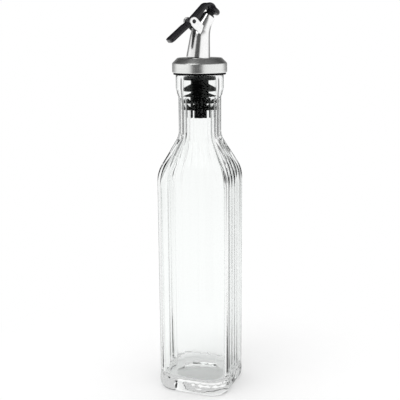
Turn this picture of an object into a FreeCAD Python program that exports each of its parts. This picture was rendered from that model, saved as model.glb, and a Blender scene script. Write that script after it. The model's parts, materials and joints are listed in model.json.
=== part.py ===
import FreeCAD, Part
import os
from math import cos, degrees, pi, radians, sin, tan

from FreeCAD import Vector

# Oil cruet: a square fluted glass bottle with a flip-lid pourer seated in its neck.
# Millimetres. The bottle stands on Z = 0 with its axis on Z and its faces square to X and Y.
# The pourer is drawn with its beak towards +X, then turned about Z by POUR_ANGLE.

# Glass bottle: body
SIDE = 50.4  # across the flats at the shoulder
CORNER = 12.2  # radius of the upright corners
SHOULDER_Z = 148.0  # where the body starts to close
HEEL_TUCK = 2.6  # how far the heel turns in under the sides
HEEL_ROUND = 6.6  # height of the heel's curve
HEEL_LEDGE = 0.3  # how far the heel stands out past the crests of the flutes
FLUTES = 32  # convex flutes around the bottle
HEEL_STEPS = 3  # loft steps up the heel's curve
FLUTE_DEPTH = 0.55  # crest to valley on the body

# Glass bottle: shoulder, neck and mouth
NECK_D = 28.6
SHOULDER_SLOPE = 25.0  # degrees from upright on the straight part of the shoulder
SHOULDER_CREST_R = 26.0
SHOULDER_ROOT_R = 14.0
ARC_STEPS = 2  # loft steps on each of the shoulder's two arcs
SLOPE_STEPS = 3  # and on the slope between them
LEAST_FLAT = 0.05  # half of the shortest flat left between the corners inside
NECK_LENGTH = 24.0  # from the shoulder to the ring
NECK_FLUTE_DEPTH = 0.35
RING_PROUD = 1.6  # ring beyond the neck
RING_HEIGHT = 13.6
RING_EDGE = 0.8  # bevel of the ring's upper edge
RING_TAPER_HEIGHT = 5.0  # the foot of the ring draws in over this height
RING_TAPER = 1.1

# Glass bottle: inside
WALL = 3.0
FLOOR = 8.0  # thickness of the base
FLOOR_ROUND = 5.0  # radius between the inside floor and the walls
NECK_WALL = 3.1
PUNT_MARGIN = 8.2  # base left around the shallow hollow under it
PUNT_SIDE = 5.0  # width of the hollow's sloping side
PUNT_RISE = 1.2

# Stopper
SEAT_GAP = 0.15  # the flange stands this far off the mouth, on its seal bead
FLANGE_INSET = 0.75  # flange inside the collar's band
FLANGE_T = 1.3
CORE_D = 11.9
CORE_DEPTH = 28.4  # from the mouth down to the end of the core
FINS = 4
FIN_PITCH = 4.4
FIN_CLEARANCE = 0.15  # fin rim to BORE_R, radius
FIN_RIM = 1.1  # thickness at the rim
FIN_RISE = 2.4  # how far the root of a fin stands above its rim
LOWEST_FIN = 5.6  # lowest fin rim above the end of the core
LAND_CLEARANCE = 0.4
LAND_DEPTH = 3.4
METER_D = 3.6  # oil passage through the core

# Collar
COLLAR_PROUD = 2.35  # band beyond the ring
BAND_HEIGHT = 6.1
CHAMFER_HEIGHT = 3.5
CHAMFER_RUN = 3.55
COLLAR_EDGE = 0.5  # bevel of the collar's lower edge

# Spout
POUR_ANGLE = 45.0
STEM_BASE_D = 15.0
STEM_D = 12.2
STEM_BASE_SHIFT = -1.0  # centre of the stem's foot, behind the bottle's axis
TAPER_SHARE = 0.6  # share of the stem's length that tapers
KNEE_SHIFT = 0.8  # where the lines of stem and beak cross, before the bottle's axis
KNEE_RISE = 17.5  # that point above the collar
HEAD_ABOVE_KNEE = 0.4  # the stem's top cuts its line this far above the knee
HEAD_SLOPE = 20.0  # the stem's top falls towards the back
BEAK_ANGLE = 58.0  # beak's rise from level
BEAK_LENGTH = 11.1  # knee to lip
BEAK_WALL = 1.0
CHANNEL_D = 6.4
SPIGOT_WALL = 1.3
SPIGOT_CLEARANCE = 0.1
EAR_T = 1.5
EAR_R = 2.8
EAR_SET = 0.3  # outer face of an ear inside the stem's side
EAR_SLOPE = 45.0
PIVOT_BACK = 6.2  # pivot behind the bottle's axis
PIVOT_RISE = 23.4  # pivot above the collar

# Lever and its seal
TRUNNION_D = 2.4
TRUNNION_CLEARANCE = 0.05
TRUNNION_RECESS = 0.5  # trunnion end behind the ear's outer face
LEVER_T = 2.8
LEVER_SIDE_GAP = 0.3
HUB_R = 2.2
TAB_LENGTH = 21.4
TAB_W = 10.0
TAB_TIP_R = 3.4
TAB_SLOPE = 39.5
TAB_START = 4.4  # the tab reaches full width this far from the pivot
ARM_SLOPE = 45.0
ARM_LENGTH = 13.6
GROOVE_DEPTH = 0.7
GROOVE_RIM = 1.1
CAP_LAP = 2.0  # cap beyond the channel, all round
CAP_T = 2.6
CAP_EDGE = 0.7
CAP_CROWN = 1.0
BOSS_T = 0.8  # boss under the cap that carries the seal
BOSS_LAP = 0.6
LANDING_HALF = 2.2  # half width of the arm where it lands on the cap
LANDING_SINK = 0.5
CAP_GAP = 3.4  # underside of the cap above the lip
SEAL_LAP = 0.5  # sealing flange beyond the channel
SEAL_FLANGE_T = 0.9
SEAL_LIFT = 0.15
SEAL_WAIST = 0.5  # waist inside the channel's radius
SEAL_PLUG_DEPTH = 1.5
SEAL_NOSE_R = 0.9  # the plug tapers to this, so that it swings clear of the channel
SEAL_CLEARANCE = 0.15

# Heights and places worked out from the sizes above
SIDE_HALF = SIDE / 2
NECK_R = NECK_D / 2
BORE_R = NECK_R - NECK_WALL
RING_R = NECK_R + RING_PROUD
COLLAR_R = RING_R + COLLAR_PROUD
CHANNEL_R = CHANNEL_D / 2
SPIGOT_R = CHANNEL_R + SPIGOT_WALL
EAR_INSIDE = STEM_D / 2 - EAR_SET - EAR_T  # inner face of an ear, from the middle
CAP_R = CHANNEL_R + CAP_LAP
SEAL_WAIST_R = CHANNEL_R - SEAL_WAIST
LEAN = radians(SHOULDER_SLOPE)
CREST_RUN = SHOULDER_CREST_R * (1 - cos(LEAN))
ROOT_RUN = SHOULDER_ROOT_R * (1 - cos(LEAN))
CREST_RISE = SHOULDER_CREST_R * sin(LEAN)
ROOT_RISE = SHOULDER_ROOT_R * sin(LEAN)
SLOPE_RISE = (SIDE_HALF - NECK_R - CREST_RUN - ROOT_RUN) / tan(LEAN)
NECK_Z = SHOULDER_Z + CREST_RISE + SLOPE_RISE + ROOT_RISE
RING_Z = NECK_Z + NECK_LENGTH
MOUTH_Z = RING_Z + RING_HEIGHT
CORE_END_Z = MOUTH_Z - CORE_DEPTH
FLANGE_Z = MOUTH_Z + SEAT_GAP
BAND_Z = FLANGE_Z + FLANGE_T
COLLAR_TOP_Z = BAND_Z + BAND_HEIGHT + CHAMFER_HEIGHT
FOOT = Vector(STEM_BASE_SHIFT, 0, COLLAR_TOP_Z)
PIVOT = Vector(-PIVOT_BACK, 0, COLLAR_TOP_Z + PIVOT_RISE)
KNEE = Vector(KNEE_SHIFT, 0, COLLAR_TOP_Z + KNEE_RISE)
BEAK_DIR = Vector(cos(radians(BEAK_ANGLE)), 0, sin(radians(BEAK_ANGLE)))
LIP = KNEE + BEAK_DIR * BEAK_LENGTH
Z_AXIS = Vector(0, 0, 1)
SIDEWAYS = Vector(0, 1, 0)


# ---------------------------------------------------------------- fluted glass

def perimeter_point(half, corner, fraction):
    """Point and outward normal on a rounded square, at a fraction of its perimeter from the middle of +X."""
    straight = half - corner
    bend = corner * pi / 2
    quarter = 2 * straight + bend
    turns = fraction * 4
    face = int(turns // 1)
    along = (turns - face) * quarter
    if along < straight:
        point = Vector(half, along, 0)
        normal = Vector(1, 0, 0)
    elif along <= straight + bend:
        angle = (along - straight) / corner
        normal = Vector(cos(angle), sin(angle), 0)
        point = Vector(straight, straight, 0) + normal * corner
    else:
        point = Vector(2 * straight + bend - along, half, 0)
        normal = Vector(0, 1, 0)
    spin = FreeCAD.Rotation(Z_AXIS, 90 * face)
    return spin.multVec(point), spin.multVec(normal)


def plain_section(height, half, corner):
    """Closed wire at a height: a rounded square of four lines and four arcs."""
    straight = half - corner
    edges = []
    for face in range(4):
        spin = FreeCAD.Rotation(Z_AXIS, 90 * face)
        start = Vector(half, -straight, height)
        end = Vector(half, straight, height)
        middle = Vector(straight + corner * cos(pi / 4), straight + corner * sin(pi / 4), height)
        last = Vector(straight, half, height)
        edges.append(Part.makeLine(spin.multVec(start), spin.multVec(end)))
        edges.append(Part.Arc(spin.multVec(end), spin.multVec(middle), spin.multVec(last)).toShape())
    return Part.Wire(edges)


def fluted_section(height, half, corner, depth):
    """Closed wire at a height: one parabola for each flute, its crest on the rounded square."""
    lift = Vector(0, 0, height)
    edges = []
    for flute in range(FLUTES):
        crest = perimeter_point(half, corner, flute / FLUTES)[0]
        ends = []
        for step in (-0.5, 0.5):
            fraction = ((flute + step) / FLUTES) % 1.0
            point, normal = perimeter_point(half, corner, fraction)
            ends.append(point - normal * depth)
        curve = Part.BezierCurve()
        curve.setPoles([ends[0] + lift, crest * 2 - (ends[0] + ends[1]) * 0.5 + lift, ends[1] + lift])
        edges.append(curve.toShape())
    return Part.Wire(edges)


def shoulder_half(height):
    """Half width of the outside at a height on the shoulder: crest arc, straight slope, root arc."""
    rise = height - SHOULDER_Z
    if rise <= CREST_RISE:
        return SIDE_HALF - SHOULDER_CREST_R + (SHOULDER_CREST_R ** 2 - rise ** 2) ** 0.5
    if rise <= CREST_RISE + SLOPE_RISE:
        return SIDE_HALF - CREST_RUN - (rise - CREST_RISE) * tan(LEAN)
    left = NECK_Z - height
    return NECK_R + SHOULDER_ROOT_R - (SHOULDER_ROOT_R ** 2 - left ** 2) ** 0.5


def share(value, start, end):
    """How far a value lies between two others, from 0 to 1."""
    return min(1.0, max(0.0, (value - start) / (end - start)))


def outer_section(height):
    """Wire of the fluted outside at a height, from the heel up."""
    if height <= SHOULDER_Z:
        return fluted_section(height, SIDE_HALF, CORNER, FLUTE_DEPTH)
    if height >= NECK_Z:
        return fluted_section(height, NECK_R, NECK_R, NECK_FLUTE_DEPTH)
    rise = share(height, SHOULDER_Z, NECK_Z)
    corner = CORNER + (NECK_R - CORNER) * rise
    depth = FLUTE_DEPTH + (NECK_FLUTE_DEPTH - FLUTE_DEPTH) * rise
    return fluted_section(height, shoulder_half(height), corner, depth)


def heel_section(height):
    """Wire of the plain heel at a height: it turns in under the sides on a quarter of an ellipse."""
    drop = 1 - height / HEEL_ROUND
    tuck = HEEL_TUCK * (1 - (1 - drop ** 2) ** 0.5)
    return plain_section(height, SIDE_HALF + HEEL_LEDGE - tuck, CORNER - tuck / 2)


def inner_size(height):
    """Half width and corner radius of the inside at a height."""
    rise = share(height, SHOULDER_Z, NECK_Z)
    outside = SIDE_HALF if height <= SHOULDER_Z else shoulder_half(height)
    half = outside - WALL - (NECK_R - BORE_R - WALL) * rise
    corner = CORNER - WALL + (BORE_R - CORNER + WALL) * rise
    if height < FLOOR + FLOOR_ROUND:
        drop = 1 - (height - FLOOR) / FLOOR_ROUND
        tuck = FLOOR_ROUND * (1 - (1 - drop ** 2) ** 0.5)
        half -= tuck
        corner -= tuck / 2
    return half, min(corner, half - LEAST_FLAT)


def inner_section(height):
    """Wire of the inside at a height."""
    half, corner = inner_size(height)
    return plain_section(height, half, corner)


def levels(start, end, steps):
    """Heights from start to end in equal steps."""
    return [start + (end - start) * step / steps for step in range(steps + 1)]


def rounded_levels(start, rise, steps):
    """Heights up a quarter round, close together where it lies flat."""
    return [start + rise * (1 - cos(pi / 2 * step / steps)) for step in range(steps + 1)]


def shoulder_levels():
    """Heights up the shoulder: steps on the crest arc, on the slope and on the root arc."""
    crest = levels(SHOULDER_Z, SHOULDER_Z + CREST_RISE, ARC_STEPS)
    root = levels(NECK_Z - ROOT_RISE, NECK_Z, ARC_STEPS)
    slope = levels(crest[-1], root[0], SLOPE_STEPS)
    return crest + slope[1:-1] + root


def lofted(section, heights):
    """Solid lofted through the sections at a list of heights."""
    return Part.makeLoft([section(height) for height in heights], True, True)


def glass_outside():
    """Outside of the bottle up to the ring: plain heel, then flutes up the body, shoulder and neck."""
    heel = lofted(heel_section, rounded_levels(0, HEEL_ROUND, HEEL_STEPS))
    flutes = lofted(outer_section, [HEEL_ROUND] + shoulder_levels() + [RING_Z])
    return heel.fuse(flutes)


def glass_hollow():
    """Inside of the bottle, from its floor up through the shoulder to the neck."""
    return lofted(inner_section, rounded_levels(FLOOR, FLOOR_ROUND, HEEL_STEPS) + shoulder_levels())


def revolved(points):
    """Solid of revolution about Z from (radius, height) corners."""
    outline = Part.makePolygon([Vector(r, 0, z) for r, z in points + points[:1]])
    return Part.Face(outline).revolve(Vector(0, 0, 0), Z_AXIS, 360)


def mouth_ring():
    """Plain ring around the mouth, drawn in at its foot."""
    return revolved([
        (BORE_R, RING_Z),
        (RING_R - RING_TAPER, RING_Z),
        (RING_R, RING_Z + RING_TAPER_HEIGHT),
        (RING_R, MOUTH_Z - RING_EDGE),
        (RING_R - RING_EDGE, MOUTH_Z),
        (BORE_R, MOUTH_Z),
    ])


def punt():
    """Shallow hollow to be taken out of the underside of the base."""
    rim_r = SIDE_HALF - PUNT_MARGIN
    return revolved([(0, 0), (rim_r, 0), (rim_r - PUNT_SIDE, PUNT_RISE), (0, PUNT_RISE)])


def bottle():
    """The glass bottle in one piece."""
    bore = Part.makeCylinder(BORE_R, MOUTH_Z - NECK_Z, Vector(0, 0, NECK_Z))
    return glass_outside().cut([glass_hollow(), punt(), bore]).fuse(mouth_ring())


# ---------------------------------------------------------------- stopper and collar

def fin(rim_z):
    """One fin around the core, its conical top falling to the rim."""
    rim_r = BORE_R - FIN_CLEARANCE
    core_r = CORE_D / 2
    return revolved([
        (core_r, rim_z),
        (rim_r, rim_z),
        (rim_r, rim_z + FIN_RIM),
        (core_r, rim_z + FIN_RIM + FIN_RISE),
    ])


def stopper():
    """Moulded stopper: finned core with an oil passage, land and sealing flange."""
    core = Part.makeCylinder(CORE_D / 2, FLANGE_Z - CORE_END_Z, Vector(0, 0, CORE_END_Z))
    land = Part.makeCylinder(BORE_R - LAND_CLEARANCE, LAND_DEPTH + SEAT_GAP, Vector(0, 0, MOUTH_Z - LAND_DEPTH))
    flange = Part.makeCylinder(COLLAR_R - FLANGE_INSET, FLANGE_T, Vector(0, 0, FLANGE_Z))
    fins = [fin(CORE_END_Z + LOWEST_FIN + FIN_PITCH * number) for number in range(FINS)]
    meter = Part.makeCylinder(METER_D / 2, BAND_Z - CORE_END_Z, Vector(0, 0, CORE_END_Z))
    return core.fuse([land, flange] + fins).cut(meter)


def collar():
    """Steel collar on the flange: upright band, chamfer and flat top, with a hole for the spigot."""
    body = revolved([
        (0, BAND_Z),
        (COLLAR_R - COLLAR_EDGE, BAND_Z),
        (COLLAR_R, BAND_Z + COLLAR_EDGE),
        (COLLAR_R, BAND_Z + BAND_HEIGHT),
        (COLLAR_R - CHAMFER_RUN, COLLAR_TOP_Z),
        (0, COLLAR_TOP_Z),
    ])
    hole = Part.makeCylinder(SPIGOT_R, COLLAR_TOP_Z - BAND_Z, Vector(STEM_BASE_SHIFT, 0, BAND_Z))
    return body.cut(hole)


# ---------------------------------------------------------------- spout

def stem():
    """Leaning stem: tapered foot, then straight up to a top that falls towards the back."""
    line = KNEE - FOOT
    length = line.Length + STEM_D
    line.normalize()
    taper = (KNEE - FOOT).Length * TAPER_SHARE
    growth = (STEM_BASE_D - STEM_D) / 2 / taper
    sunk = STEM_BASE_D / 2
    start = FOOT - line * sunk
    foot = Part.makeCone(STEM_BASE_D / 2 + growth * sunk, STEM_D / 2, taper + sunk, start, line)
    shaft = Part.makeCylinder(STEM_D / 2, length - taper, FOOT + line * taper, line)
    slope = radians(HEAD_SLOPE)
    top = Part.makeBox(4 * STEM_D, 4 * STEM_D, 4 * STEM_D, Vector(-2 * STEM_D, -2 * STEM_D, 0))
    top.rotate(Vector(0, 0, 0), SIDEWAYS, -degrees(slope))
    top.translate(KNEE + line * HEAD_ABOVE_KNEE)
    under = Part.makeBox(4 * STEM_D, 4 * STEM_D, 4 * STEM_D)
    under.translate(Vector(-2 * STEM_D, -2 * STEM_D, COLLAR_TOP_Z - 4 * STEM_D))
    return foot.fuse(shaft).cut([top, under])


def ear(side):
    """Flat cheek from the stem up to the pivot, on the side given as -1 or 1."""
    slope = radians(EAR_SLOPE)
    down = Vector(cos(slope), 0, -sin(slope))
    across = Vector(sin(slope), 0, cos(slope)) * EAR_R
    root = PIVOT + down * (PIVOT_BACK + STEM_D / 2)
    start = -across + PIVOT
    tip = PIVOT - down * EAR_R
    outline = Part.Wire([
        Part.makeLine(root - across, start),
        Part.Arc(start, tip, PIVOT + across).toShape(),
        Part.makeLine(PIVOT + across, root + across),
        Part.makeLine(root + across, root - across),
    ])
    near = EAR_INSIDE if side > 0 else -EAR_INSIDE - EAR_T
    outline.translate(SIDEWAYS * near)
    plate = Part.Face(outline).extrude(SIDEWAYS * EAR_T)
    hole_r = TRUNNION_D / 2 + TRUNNION_CLEARANCE
    hole = Part.makeCylinder(hole_r, EAR_T, PIVOT + SIDEWAYS * near, SIDEWAYS)
    return plate.cut(hole)


def spout():
    """Polished spout: stem, beak, two ears and a spigot in one casting, with the oil channel."""
    beak = Part.makeCylinder(CHANNEL_R + BEAK_WALL, BEAK_LENGTH, KNEE, BEAK_DIR)
    spigot_length = COLLAR_TOP_Z - BAND_Z
    spigot_foot = Vector(STEM_BASE_SHIFT, 0, BAND_Z)
    spigot = Part.makeCylinder(SPIGOT_R - SPIGOT_CLEARANCE, spigot_length, spigot_foot)
    stem_line = KNEE - FOOT
    channels = [
        Part.makeCylinder(CHANNEL_R, BEAK_LENGTH, KNEE, BEAK_DIR),
        Part.makeCylinder(CHANNEL_R, stem_line.Length, FOOT, stem_line),
        Part.makeCylinder(CHANNEL_R, spigot_length, spigot_foot),
    ]
    return stem().fuse([beak, spigot, ear(-1), ear(1)]).cut(channels)


# ---------------------------------------------------------------- lever and seal

def above(point, slope, distance):
    """Point moved squarely off a line that rises at a slope."""
    return point + Vector(-sin(slope), 0, cos(slope)) * distance


def lever_profile(top_drop, lift):
    """Side face of the lever: tab and arm, from top_drop under its top line to lift over it."""
    tab = radians(TAB_SLOPE)
    arm = radians(ARM_SLOPE)
    tab_end = PIVOT - Vector(cos(tab), 0, sin(tab)) * TAB_LENGTH
    arm_end = PIVOT + Vector(cos(arm), 0, sin(arm)) * ARM_LENGTH
    half = LEVER_T / 2
    low = -half if lift == 0 else half - top_drop
    high = half + lift
    knee = (tab + arm) / 2
    corners = [
        above(tab_end, tab, low),
        above(PIVOT, knee, low),
        above(arm_end, arm, low),
        above(arm_end, arm, high),
        above(PIVOT, knee, high),
        above(tab_end, tab, high),
    ]
    return Part.Face(Part.makePolygon(corners + corners[:1]))


def lever_plan(inset, front_x):
    """Upright prism of the lever's outline from above, drawn in by an inset."""
    tab = radians(TAB_SLOPE)
    tab_half = TAB_W / 2 - inset
    arm_half = EAR_INSIDE - LEVER_SIDE_GAP - inset
    narrow_x = PIVOT.x - TAB_START * cos(tab)
    wide_x = narrow_x - (tab_half - arm_half)
    tip_x = PIVOT.x - TAB_LENGTH * cos(tab) + inset
    base = PIVOT.z - 2 * TAB_LENGTH
    half_outline = [(front_x, arm_half), (narrow_x, arm_half), (wide_x, tab_half), (tip_x, tab_half)]
    left = [Vector(x, -y, base) for x, y in half_outline]
    right = [Vector(x, y, base) for x, y in reversed(half_outline)]
    prism = Part.Face(Part.makePolygon(left + right + left[:1])).extrude(Z_AXIS * 4 * TAB_LENGTH)
    upright = [edge for edge in prism.Edges if edge.Length > 3 * TAB_LENGTH]
    tips = [edge for edge in upright if edge.CenterOfMass.x < wide_x - tab_half]
    return prism.makeFillet(TAB_TIP_R - inset, tips)


def widened(face):
    """Side face drawn out to the tab's full width."""
    face.translate(SIDEWAYS * (-TAB_W / 2))
    return face.extrude(SIDEWAYS * TAB_W)


def along_beak(distance):
    """Point on the beak's centre line beyond the lip."""
    return LIP + BEAK_DIR * distance


def turned_to_beak(points):
    """Solid of revolution about the beak's line from (radius, distance beyond the lip) corners."""
    solid = revolved(points)
    solid.rotate(Vector(0, 0, 0), SIDEWAYS, 90 - BEAK_ANGLE)
    solid.translate(LIP)
    return solid


def cap():
    """Round cap on the end of the arm, over the lip, with a boss under it."""
    return turned_to_beak([
        (0, CAP_GAP - BOSS_T),
        (SEAL_WAIST_R + BOSS_LAP, CAP_GAP - BOSS_T),
        (CAP_R - CAP_EDGE, CAP_GAP),
        (CAP_R, CAP_GAP + CAP_T / 2),
        (CAP_R - CAP_EDGE, CAP_GAP + CAP_T),
        (0, CAP_GAP + CAP_T + CAP_CROWN),
    ])


def bent_edge(start, direction, end):
    """Arc that leaves a point in a direction and bends down to an end."""
    inward = Vector(direction.z, 0, -direction.x)
    chord = end - start
    radius = chord.dot(chord) / (2 * inward.dot(chord))
    centre = start + inward * radius
    middle = (start + end) * 0.5 - centre
    middle.normalize()
    return Part.Arc(start, centre + middle * radius, end).toShape()


def arm_crook():
    """Curved end of the arm, from its top round and down on to the cap."""
    arm = radians(ARM_SLOPE)
    along = Vector(cos(arm), 0, sin(arm))
    arm_end = PIVOT + along * ARM_LENGTH
    under = above(arm_end, arm, -LEVER_T / 2)
    over = above(arm_end, arm, LEVER_T / 2)
    seat = along_beak(CAP_GAP + CAP_T - LANDING_SINK)
    across = Vector(BEAK_DIR.z, 0, -BEAK_DIR.x) * LANDING_HALF
    outline = Part.Wire([
        Part.makeLine(under, over),
        bent_edge(over, along, seat + across),
        Part.makeLine(seat + across, seat - across),
        bent_edge(under, along, seat - across),
    ])
    return widened(Part.Face(outline))


def lever():
    """Flip lever: grooved thumb tab, arm, cap and two trunnions, moulded in one."""
    front_x = LIP.x + 2 * CAP_R
    strip = widened(lever_profile(0, 0)).fuse(arm_crook()).common(lever_plan(0, front_x))
    groove_end = PIVOT.x + ARM_LENGTH * cos(radians(ARM_SLOPE))
    groove = widened(lever_profile(GROOVE_DEPTH, LEVER_T)).common(lever_plan(GROOVE_RIM, groove_end))
    hub_w = 2 * (EAR_INSIDE - LEVER_SIDE_GAP)
    hub = Part.makeCylinder(HUB_R, hub_w, PIVOT - SIDEWAYS * (hub_w / 2), SIDEWAYS)
    reach = EAR_INSIDE + EAR_T - TRUNNION_RECESS
    axle = Part.makeCylinder(TRUNNION_D / 2, 2 * reach, PIVOT - SIDEWAYS * reach, SIDEWAYS)
    return strip.cut(groove).fuse([hub, axle, cap()])


def seal():
    """Soft seal under the cap: waist, sealing flange over the lip and tapered plug in the channel."""
    flange_r = CHANNEL_R + SEAL_LAP
    return turned_to_beak([
        (0, -SEAL_PLUG_DEPTH),
        (SEAL_NOSE_R, -SEAL_PLUG_DEPTH),
        (CHANNEL_R - SEAL_CLEARANCE, 0),
        (CHANNEL_R - SEAL_CLEARANCE, SEAL_LIFT),
        (flange_r, SEAL_LIFT),
        (flange_r, SEAL_LIFT + SEAL_FLANGE_T),
        (SEAL_WAIST_R, SEAL_LIFT + SEAL_FLANGE_T),
        (SEAL_WAIST_R, CAP_GAP - BOSS_T),
        (0, CAP_GAP - BOSS_T),
    ])


# ---------------------------------------------------------------- nodes

def write(node, solid, turn):
    """Turn a piece to its place about the bottle's axis and write it as one STEP file."""
    solid.rotate(Vector(0, 0, 0), Z_AXIS, turn)
    solid.exportStep("parts/" + node + ".step")
    print(node, len(solid.Solids), "solid,", round(solid.Volume), "mm3, valid", solid.isValid())


def main():
    """Write every node."""
    os.makedirs("parts", exist_ok=True)
    write("bottle", bottle(), 0)
    write("stopper", stopper(), POUR_ANGLE)
    write("collar", collar(), POUR_ANGLE)
    write("spout", spout(), POUR_ANGLE)
    write("lever", lever(), POUR_ANGLE)
    write("seal", seal(), POUR_ANGLE)
    for name, place in (("mouth", MOUTH_Z), ("collar top", COLLAR_TOP_Z), ("pivot", PIVOT), ("lip", LIP)):
        print(name, place)


main()
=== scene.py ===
"""Square fluted glass oil cruet with a finned stopper, a steel collar, a bent spout and a flip lid."""
import json
import logging
import math
from dataclasses import dataclass
from enum import Enum
from typing import Sequence

import bmesh
import bpy
import numpy as np
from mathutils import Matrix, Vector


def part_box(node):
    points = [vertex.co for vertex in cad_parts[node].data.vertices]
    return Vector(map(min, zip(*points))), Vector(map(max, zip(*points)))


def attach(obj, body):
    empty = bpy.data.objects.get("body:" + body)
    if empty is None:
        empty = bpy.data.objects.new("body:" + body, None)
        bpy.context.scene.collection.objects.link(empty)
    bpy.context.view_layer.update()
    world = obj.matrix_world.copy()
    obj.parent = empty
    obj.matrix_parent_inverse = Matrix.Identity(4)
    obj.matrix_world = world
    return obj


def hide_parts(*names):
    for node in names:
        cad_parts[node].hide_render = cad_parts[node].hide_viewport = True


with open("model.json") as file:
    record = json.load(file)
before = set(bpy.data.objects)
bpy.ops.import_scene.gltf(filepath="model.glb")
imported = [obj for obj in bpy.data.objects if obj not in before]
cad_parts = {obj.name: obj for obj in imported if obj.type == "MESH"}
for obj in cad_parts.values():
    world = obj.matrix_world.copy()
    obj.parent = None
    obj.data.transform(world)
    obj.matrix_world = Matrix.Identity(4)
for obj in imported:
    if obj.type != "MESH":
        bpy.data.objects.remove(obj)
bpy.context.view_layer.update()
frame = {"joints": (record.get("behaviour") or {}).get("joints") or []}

MM = 0.001
UP = np.array((0.0, 0.0, 1.0))
SIDEWAYS = np.array((0.0, 1.0, 0.0))
WHITE = (1.0, 1.0, 1.0, 1.0)
LOG = logging.getLogger("oil_cruet")

Socket = bpy.types.NodeSocket
Mesh = bpy.types.Mesh
Array = np.ndarray
Pair = tuple[float, float]
Colour = tuple[float, float, float]


class Body(Enum):
    """Rigid bodies that the pieces ride on."""

    VESSEL = "vessel"
    LID = "lid"


class Slot(Enum):
    """Material slots of the record."""

    GLASS = "clear_glass"
    STOPPER = "black_rubber"
    COLLAR = "collar_steel"
    SPOUT = "spout_metal"
    LID = "lid_plastic"
    SEAL = "seal_rubber"


# ---- node building

class Signal:
    """A number socket of a node tree that takes part in arithmetic."""

    def __init__(self, graph: "Graph", socket: Socket) -> None:
        """Keep the tree and the socket."""
        self.graph = graph
        self.socket = socket

    def math(self, operation: str, *others: "Signal | float") -> "Signal":
        """Result of a Math node on this socket.

        Args:
            operation: the node's operation.
            others: the second and third values.

        Returns:
            The node's output.
        """
        values = dict(enumerate((self, *others)))
        node = self.graph.node("ShaderNodeMath", {"operation": operation}, values)
        return Signal(self.graph, node.outputs[0])

    def reflected(self, operation: str, first: float) -> "Signal":
        """Result of a Math node with a plain number before this socket."""
        node = self.graph.node("ShaderNodeMath", {"operation": operation}, {0: first, 1: self})
        return Signal(self.graph, node.outputs[0])

    def __add__(self, other: "Signal | float") -> "Signal":
        """Sum."""
        return self.math("ADD", other)

    def __sub__(self, other: "Signal | float") -> "Signal":
        """Difference."""
        return self.math("SUBTRACT", other)

    def __rsub__(self, other: float) -> "Signal":
        """Difference from a number."""
        return self.reflected("SUBTRACT", other)

    def __mul__(self, other: "Signal | float") -> "Signal":
        """Product."""
        return self.math("MULTIPLY", other)

    def __neg__(self) -> "Signal":
        """Negative."""
        return self * -1.0

    def ramp(self, start: float, end: float) -> "Signal":
        """Smooth rise from 0 at start to 1 at end."""
        sockets = {"Value": self, "From Min": start, "From Max": end}
        node = self.graph.node("ShaderNodeMapRange", {"interpolation_type": "SMOOTHSTEP"}, sockets)
        return Signal(self.graph, node.outputs[0])


class Graph:
    """Builds the nodes of one tree."""

    def __init__(self, tree: bpy.types.NodeTree) -> None:
        """Empty the tree."""
        self.tree = tree
        tree.nodes.clear()

    def node(self, kind: str, settings: dict | None = None, sockets: dict | None = None) -> bpy.types.Node:
        """Add a node.

        Args:
            kind: node type.
            settings: attributes of the node, set first.
            sockets: input name or number to a value, a socket or a Signal.

        Returns:
            The new node.
        """
        node = self.tree.nodes.new(kind)
        for name, value in (settings or {}).items():
            setattr(node, name, value)
        for name, value in (sockets or {}).items():
            source = value.socket if isinstance(value, Signal) else value
            if isinstance(source, Socket):
                self.tree.links.new(source, node.inputs[name])
            else:
                node.inputs[name].default_value = source
        return node

    def signal(self, kind: str, output: str | int, settings: dict | None = None,
               sockets: dict | None = None) -> Signal:
        """Number output of a new node."""
        return Signal(self, self.node(kind, settings, sockets).outputs[output])

    def blend(self, factor: Signal, low: Colour, high: Colour) -> Socket:
        """Colour between two colours."""
        sockets = {0: factor, 6: (*low, 1.0), 7: (*high, 1.0)}
        return self.node("ShaderNodeMix", {"data_type": "RGBA"}, sockets).outputs[2]

    def bump(self, height: Signal, depth: float) -> Socket:
        """Normal from a height that runs from 0 to 1, with its depth in metres."""
        return self.node("ShaderNodeBump", None, {"Distance": depth, "Height": height}).outputs[0]

    def place(self) -> Socket:
        """Position on the piece, in metres."""
        return self.node("ShaderNodeTexCoord").outputs["Object"]

    def noise(self, place: Socket, per_metre: float, detail: float = 2.0) -> Signal:
        """Even noise from 0 to 1."""
        sockets = {"Vector": place, "Scale": per_metre, "Detail": detail}
        return self.signal("ShaderNodeTexNoise", 0, None, sockets)

    def stretched(self, place: Socket,
                  scale: tuple[float, float, float]) -> Socket:
        """Position drawn out by a scale for each axis."""
        return self.node("ShaderNodeMapping", None, {"Vector": place, "Scale": scale}).outputs[0]


# ---- finishes

class Finish:
    """A material that is built once and shared."""

    title: str

    def material(self) -> bpy.types.Material:
        """The finish as a material."""
        known = bpy.data.materials.get(self.title)
        if known:
            return known
        material = bpy.data.materials.new(self.title)
        material.use_nodes = True
        graph = Graph(material.node_tree)
        shader = self.shader(graph)
        graph.node("ShaderNodeOutputMaterial", None, {"Surface": shader.outputs[0]})
        return material

    def shader(self, graph: Graph) -> bpy.types.Node:
        """The finish's shader node."""
        raise NotImplementedError


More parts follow.
